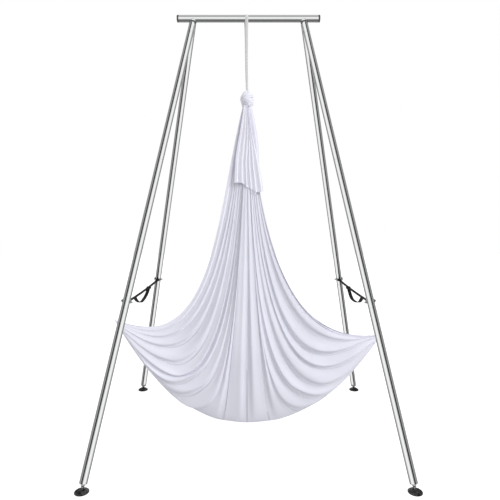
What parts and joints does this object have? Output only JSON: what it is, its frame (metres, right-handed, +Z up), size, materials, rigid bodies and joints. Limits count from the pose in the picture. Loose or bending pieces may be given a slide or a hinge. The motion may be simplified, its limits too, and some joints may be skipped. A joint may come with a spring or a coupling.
{
  "type": "aerial rig",
  "caption": "Free-standing aerial frame of splayed steel tube legs under a top bar, with a knotted cloth hammock hung on a webbing sling.",
  "frame": {"origin": "on the floor under the middle of the top bar, at the centre of the footprint", "axes": "+Z up; +X along the top bar, to the right as seen from the front; +Y from front to back"},
  "size_m": [1.906, 1.58, 2.9323],
  "materials": {
    "steel": "polished",
    "dark_steel": "satin",
    "hardware": "satin",
    "foot_rubber": "matte",
    "black_plastic": "matte",
    "black_webbing": "woven webbing",
    "pale_webbing": "woven webbing",
    "cloth": "fine stretch knit"
  },
  "bodies": {
    "frame": {"bar_tube": "steel", "bar_cap_left": "dark_steel", "bar_cap_right": "dark_steel", "socket_left": "steel", "socket_right": "steel", "leg_front_left_upper": "steel", "leg_front_left_middle": "steel", "leg_front_left_lower": "steel", "strap_bolt_front_left": "dark_steel", "strap_bail_front_left": "dark_steel", "foot_plug_front_left": "dark_steel", "leg_back_left_upper": "steel", "leg_back_left_middle": "steel", "leg_back_left_lower": "steel", "strap_bolt_back_left": "dark_steel", "strap_bail_back_left": "dark_steel", "foot_plug_back_left": "dark_steel", "tie_strap_left": "black_webbing", "buckle_left": "black_plastic", "leg_front_right_upper": "steel", "leg_front_right_middle": "steel", "leg_front_right_lower": "steel", "strap_bolt_front_right": "dark_steel", "strap_bail_front_right": "dark_steel", "foot_plug_front_right": "dark_steel", "leg_back_right_upper": "steel", "leg_back_right_middle": "steel", "leg_back_right_lower": "steel", "strap_bolt_back_right": "dark_steel", "strap_bail_back_right": "dark_steel", "foot_plug_back_right": "dark_steel", "tie_strap_right": "black_webbing", "buckle_right": "black_plastic"},
    "stud_front_left": {"foot_stud_front_left": "steel"},
    "ball_front_left": {"foot_ball_front_left": "dark_steel"},
    "pad_front_left": {"foot_pad_front_left": "foot_rubber"},
    "stud_back_left": {"foot_stud_back_left": "steel"},
    "ball_back_left": {"foot_ball_back_left": "dark_steel"},
    "pad_back_left": {"foot_pad_back_left": "foot_rubber"},
    "stud_front_right": {"foot_stud_front_right": "steel"},
    "ball_front_right": {"foot_ball_front_right": "dark_steel"},
    "pad_front_right": {"foot_pad_front_right": "foot_rubber"},
    "stud_back_right": {"foot_stud_back_right": "steel"},
    "ball_back_right": {"foot_ball_back_right": "dark_steel"},
    "pad_back_right": {"foot_pad_back_right": "foot_rubber"},
    "sling": {"sling": "pale_webbing"},
    "carabiner": {"carabiner_body": "hardware"},
    "gate": {"carabiner_gate": "hardware"},
    "sleeve": {"carabiner_sleeve": "hardware"},
    "hammock": {"knot": "cloth", "hammock_cloth": "cloth"}
  },
  "joints": [
    {"name": "level_front_left", "type": "slide", "parent": "frame", "child": "stud_front_left", "axis": [-0.1732, -0.2474, -0.9533], "range_m": [0, 0.015]},
    {"name": "tilt_x_front_left", "type": "hinge", "parent": "stud_front_left", "child": "ball_front_left", "pos_m": [-0.913, -0.75, 0.015], "axis": [1, 0, 0], "range_deg": [-20, 8]},
    {"name": "tilt_y_front_left", "type": "hinge", "parent": "ball_front_left", "child": "pad_front_left", "pos_m": [-0.913, -0.75, 0.015], "axis": [0, 1, 0], "range_deg": [-8, 16]},
    {"name": "level_back_left", "type": "slide", "parent": "frame", "child": "stud_back_left", "axis": [-0.1732, 0.2474, -0.9533], "range_m": [0, 0.015]},
    {"name": "tilt_x_back_left", "type": "hinge", "parent": "stud_back_left", "child": "ball_back_left", "pos_m": [-0.913, 0.75, 0.015], "axis": [1, 0, 0], "range_deg": [-8, 20]},
    {"name": "tilt_y_back_left", "type": "hinge", "parent": "ball_back_left", "child": "pad_back_left", "pos_m": [-0.913, 0.75, 0.015], "axis": [0, 1, 0], "range_deg": [-8, 16]},
    {"name": "level_front_right", "type": "slide", "parent": "frame", "child": "stud_front_right", "axis": [0.1732, -0.2474, -0.9533], "range_m": [0, 0.015]},
    {"name": "tilt_x_front_right", "type": "hinge", "parent": "stud_front_right", "child": "ball_front_right", "pos_m": [0.913, -0.75, 0.015], "axis": [1, 0, 0], "range_deg": [-20, 8]},
    {"name": "tilt_y_front_right", "type": "hinge", "parent": "ball_front_right", "child": "pad_front_right", "pos_m": [0.913, -0.75, 0.015], "axis": [0, 1, 0], "range_deg": [-16, 8]},
    {"name": "level_back_right", "type": "slide", "parent": "frame", "child": "stud_back_right", "axis": [0.1732, 0.2474, -0.9533], "range_m": [0, 0.015]},
    {"name": "tilt_x_back_right", "type": "hinge", "parent": "stud_back_right", "child": "ball_back_right", "pos_m": [0.913, 0.75, 0.015], "axis": [1, 0, 0], "range_deg": [-8, 20]},
    {"name": "tilt_y_back_right", "type": "hinge", "parent": "ball_back_right", "child": "pad_back_right", "pos_m": [0.913, 0.75, 0.015], "axis": [0, 1, 0], "range_deg": [-16, 8]},
    {"name": "hammock_swing", "type": "hinge", "parent": "frame", "child": "sling", "pos_m": [-0.01, 0, 2.905], "axis": [1, 0, 0], "range_deg": [-8, 8]},
    {"name": "hammock_sway", "type": "hinge", "parent": "sling", "child": "carabiner", "pos_m": [-0.01, 0, 2.38445], "axis": [0, 1, 0], "range_deg": [-4.5, 4.5]},
    {"name": "hammock_twist", "type": "hinge", "parent": "carabiner", "child": "hammock", "pos_m": [-0.01, 0, 2.34195], "axis": [0, 0, 1], "range_deg": [-10, 10]},
    {"name": "gate_opening", "type": "hinge", "parent": "carabiner", "child": "gate", "pos_m": [0.011, 0, 2.32475], "axis": [0, -1, 0], "range_deg": [0, 20], "stiffness_Nm_per_rad": 0.05, "springref_deg": -20.05},
    {"name": "sleeve_lock", "type": "slide", "parent": "gate", "child": "sleeve", "axis": [0, 0, 1], "range_m": [0, 0.012]}
  ]
}
